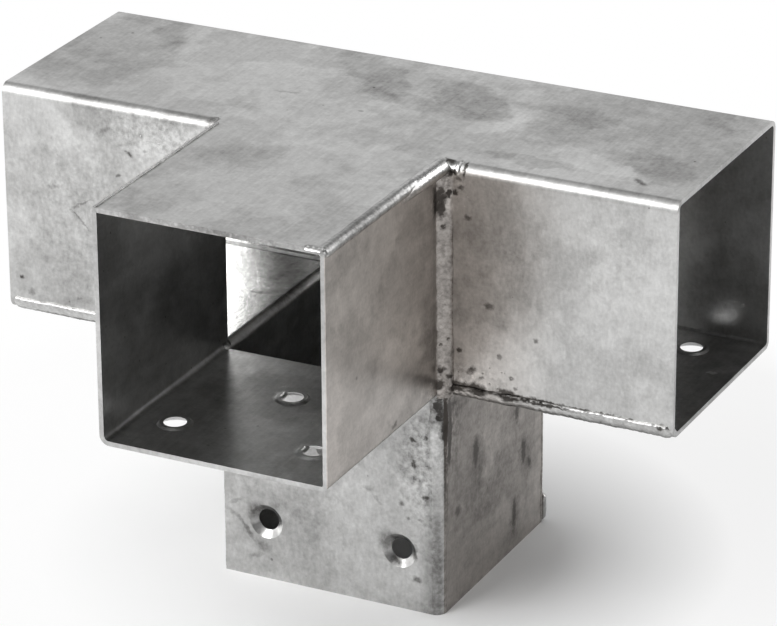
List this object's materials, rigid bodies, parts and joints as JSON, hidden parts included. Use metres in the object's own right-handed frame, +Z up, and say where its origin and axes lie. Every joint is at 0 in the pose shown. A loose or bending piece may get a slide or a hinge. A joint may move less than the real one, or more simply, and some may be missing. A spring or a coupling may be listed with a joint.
{
  "type": "four-way post connector",
  "caption": "Welded sheet-steel connector whose square sockets join timber posts: one below, one each side and one in front, with countersunk screw holes.",
  "frame": {"origin": "centre of the mouth of the downward post socket, which the part stands on", "axes": "+Z up, away from the post below; X runs along the two side arms; the front branch points to -Y"},
  "size_m": [0.225, 0.15, 0.15],
  "materials": {
    "galvanised_sheet": "dull hot-dip zinc with cloudy patches",
    "galvanised_weld": "hot-dip zinc over hand-laid weld beads"
  },
  "bodies": {
    "root": {"top_sheet": "galvanised_sheet", "branch_sheet": "galvanised_sheet", "left_arm_sheet": "galvanised_sheet", "right_arm_sheet": "galvanised_sheet", "weld_branch_top_left": "galvanised_weld", "weld_branch_top_right": "galvanised_weld", "weld_left_arm_back": "galvanised_weld", "weld_left_arm_front": "galvanised_weld", "weld_left_inner_corner": "galvanised_weld", "weld_left_notch": "galvanised_weld", "weld_post_back_left": "galvanised_weld", "weld_post_back_right": "galvanised_weld", "weld_post_front_left": "galvanised_weld", "weld_post_front_right": "galvanised_weld", "weld_right_arm_back": "galvanised_weld", "weld_right_arm_front": "galvanised_weld", "weld_right_inner_corner": "galvanised_weld", "weld_right_notch": "galvanised_weld"}
  },
  "joints": []
}
